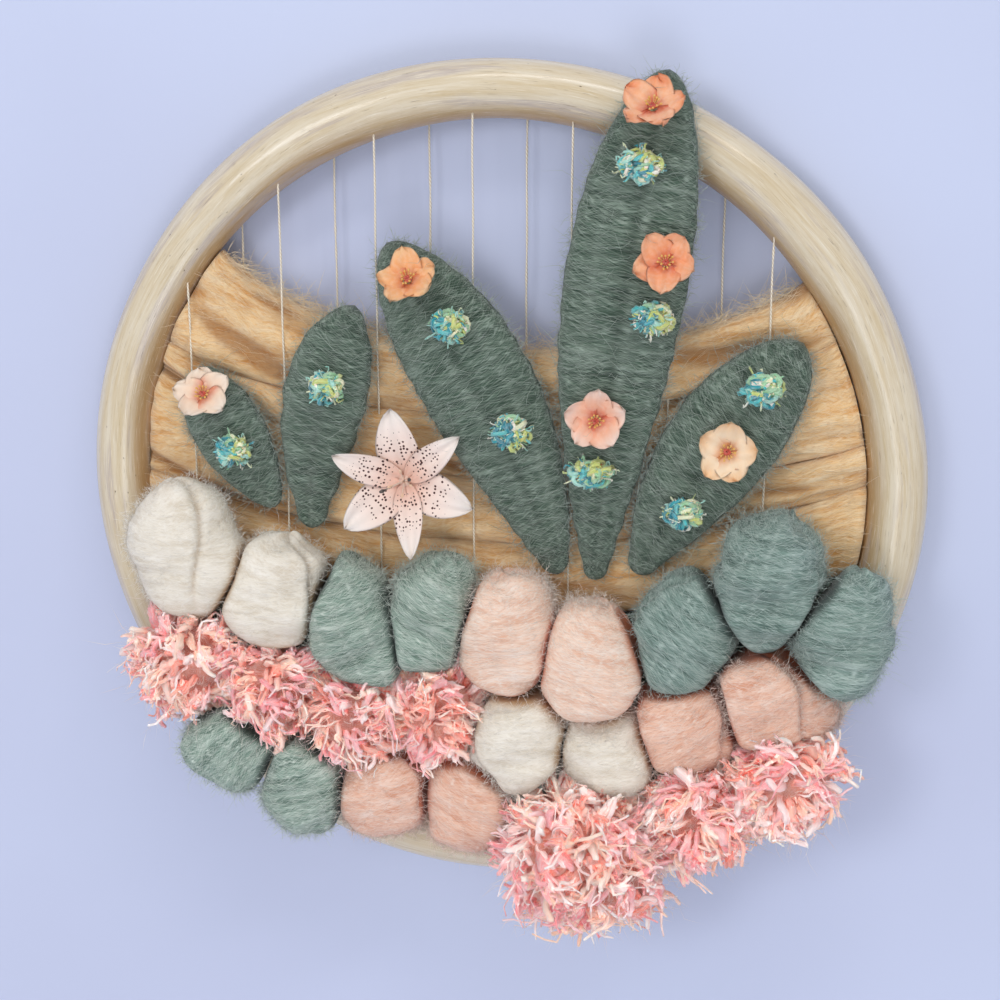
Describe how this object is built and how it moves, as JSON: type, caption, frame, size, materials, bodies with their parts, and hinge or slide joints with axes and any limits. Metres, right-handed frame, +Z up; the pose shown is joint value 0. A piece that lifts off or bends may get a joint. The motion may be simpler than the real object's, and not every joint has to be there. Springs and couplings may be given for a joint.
{
  "type": "woven wall hanging worked in a bent cane hoop",
  "caption": "Round wall hanging woven inside a cane hoop, with combed wool swags, puffed wool, cut pile, a pompom, wool leaves and cloth flowers.",
  "frame": {"origin": "the hang point: underside of the middle of the hoop's top, where a nail or hook in the wall bears", "axes": "+Z up the hanging, +Y through it to the wall, so the worked front faces -Y"},
  "size_m": [0.405, 0.0802, 0.4109],
  "materials": {
    "cane": "satin pale bent cane with grey and cream lengthwise grain",
    "warp_thread": "fine twisted cream thread",
    "tan_wool": "camel combed wool, fibres along the swag",
    "ground_yarn": "plain woven grey-green yarn",
    "cream_wool": "cream combed wool, puffed",
    "sage_wool": "grey-green combed wool, puffed",
    "peach_wool": "pale peach combed wool, puffed",
    "pile_yarn": "soft cut yarn, pink, coral and white, frayed",
    "leaf_wool": "dark grey-green wool wrapped over a flat core",
    "blossom_cloth": "thin stiffened petal cloth, peach to pink",
    "lily_cloth": "thin petal cloth, pale pink with dark dots",
    "knot_yarn": "fancy looped yarn, teal, lime and white"
  },
  "bodies": {
    "root": {"hoop": "cane", "warp_01": "warp_thread", "warp_02": "warp_thread", "warp_03": "warp_thread", "warp_04": "warp_thread", "warp_05": "warp_thread", "warp_06": "warp_thread", "warp_07": "warp_thread", "warp_08": "warp_thread", "warp_09": "warp_thread", "warp_10": "warp_thread", "warp_11": "warp_thread", "warp_12": "warp_thread", "warp_13": "warp_thread", "warp_14": "warp_thread", "swag_1": "tan_wool", "swag_2": "tan_wool", "swag_3": "tan_wool", "swag_4": "tan_wool", "ground": "ground_yarn", "puffs_cream_left": "cream_wool", "puffs_cream_right": "cream_wool", "puffs_sage_left": "sage_wool", "puffs_sage_low": "sage_wool", "puffs_sage_right": "sage_wool", "puffs_peach_low": "peach_wool", "puffs_peach_right": "peach_wool", "puffs_peach_side": "peach_wool", "pile_band": "pile_yarn", "pile_side": "pile_yarn", "pompom": "pile_yarn", "leaf_tall": "leaf_wool", "leaf_left": "leaf_wool", "leaf_right": "leaf_wool", "sprig_outer": "leaf_wool", "sprig_inner": "leaf_wool", "blossom_tip": "blossom_cloth", "blossom_edge": "blossom_cloth", "blossom_middle": "blossom_cloth", "blossom_left": "blossom_cloth", "blossom_right": "blossom_cloth", "blossom_sprig": "blossom_cloth", "lily": "lily_cloth", "knot_tip": "knot_yarn", "knot_edge": "knot_yarn", "knot_middle": "knot_yarn", "knot_left_top": "knot_yarn", "knot_left_low": "knot_yarn", "knot_right_top": "knot_yarn", "knot_right_low": "knot_yarn", "knot_sprig_outer": "knot_yarn", "knot_sprig_inner": "knot_yarn"}
  },
  "joints": []
}
